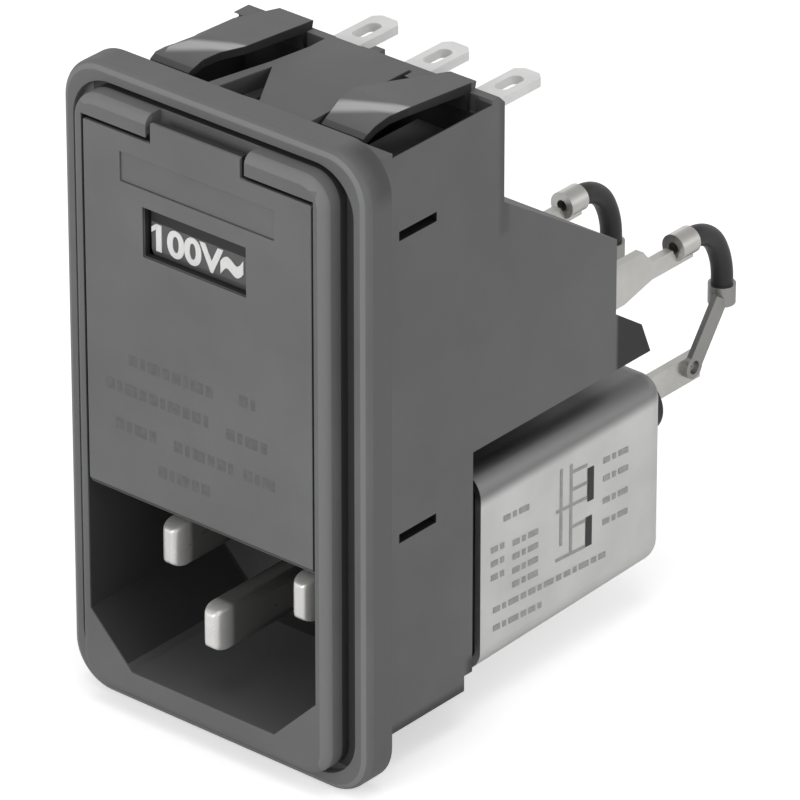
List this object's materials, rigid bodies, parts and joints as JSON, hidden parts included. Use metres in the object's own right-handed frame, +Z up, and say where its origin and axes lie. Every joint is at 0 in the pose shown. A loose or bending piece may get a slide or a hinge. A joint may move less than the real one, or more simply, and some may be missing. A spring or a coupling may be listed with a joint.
{
  "type": "line filter power inlet",
  "caption": "Panel power inlet with a metal filter can behind it, a hinged fuse door, a rotary voltage selector and flat terminals joined by jumper leads.",
  "frame": {"origin": "middle of the flange on its panel side", "axes": "+X to the right seen from the front, +Y into the panel, +Z up towards the fuse door"},
  "size_m": [0.0318, 0.059, 0.0576],
  "materials": {
    "housing_plastic": "fine satin moulded grain",
    "door_plastic": "fine satin moulded grain",
    "plated_pin": "bright nickel plate",
    "tinned_strip": "tinned, slightly dull",
    "can_metal": "drawn metal with a soft sheen and dark print on one side",
    "bushing_plastic": "black moulded",
    "rivet_metal": "plain",
    "wire_sleeve": "black sleeving",
    "board_laminate": "coated laminate",
    "choke_ferrite": "sintered dark grey",
    "winding_copper": "enamelled copper wire",
    "film_case": "smooth potted case",
    "disc_ceramic": "dipped coating",
    "resistor_body": "lacquered",
    "fuse_glass": "clear tube",
    "fuse_element": "thin plated wire",
    "fuse_cap_metal": "bright plated cup",
    "drum_plastic": "dark moulded with pale numbers",
    "spindle_steel": "turned",
    "contact_brass": "plain"
  },
  "bodies": {
    "base": {"housing": "housing_plastic", "line_pin": "plated_pin", "neutral_pin": "plated_pin", "earth_pin": "plated_pin", "selector_tab_left": "tinned_strip", "selector_tab_middle": "tinned_strip", "selector_tab_right": "tinned_strip", "terminal_strip_a": "tinned_strip", "terminal_strip_b": "tinned_strip", "link_strip_a": "tinned_strip", "link_strip_b": "tinned_strip", "can_shell": "can_metal", "bushing_a": "bushing_plastic", "output_tab_a": "tinned_strip", "bushing_b": "bushing_plastic", "output_tab_b": "tinned_strip", "earth_tab": "tinned_strip", "earth_rivet": "rivet_metal", "jumper_wire_a": "wire_sleeve", "jumper_lug_a": "tinned_strip", "jumper_wire_b": "wire_sleeve", "jumper_lug_b": "tinned_strip", "filter_board": "board_laminate", "choke_core": "choke_ferrite", "choke_winding_a": "winding_copper", "choke_winding_b": "winding_copper", "film_capacitor": "film_case", "disc_capacitor_a": "disc_ceramic", "disc_capacitor_b": "disc_ceramic", "bleed_resistor": "resistor_body"},
    "door_set": {"door": "door_plastic", "fuse_carrier": "door_plastic", "fuse_low_glass": "fuse_glass", "fuse_low_wire": "fuse_element", "fuse_low_cap_left": "fuse_cap_metal", "fuse_low_cap_right": "fuse_cap_metal", "fuse_high_glass": "fuse_glass", "fuse_high_wire": "fuse_element", "fuse_high_cap_left": "fuse_cap_metal", "fuse_high_cap_right": "fuse_cap_metal"},
    "drum_set": {"drum": "drum_plastic", "drum_spindle": "spindle_steel", "contact_ring_left": "contact_brass", "contact_ring_right": "contact_brass"}
  },
  "joints": [
    {"name": "door_hinge", "type": "hinge", "parent": "base", "child": "door_set", "pos_m": [0, -0.00405, -0.00742], "axis": [1, 0, 0], "range_deg": [0, 105]},
    {"name": "selector_turn", "type": "hinge", "parent": "base", "child": "drum_set", "pos_m": [0, 0.00095, 0.0166], "axis": [1, 0, 0], "range_deg": [0, 270]}
  ]
}
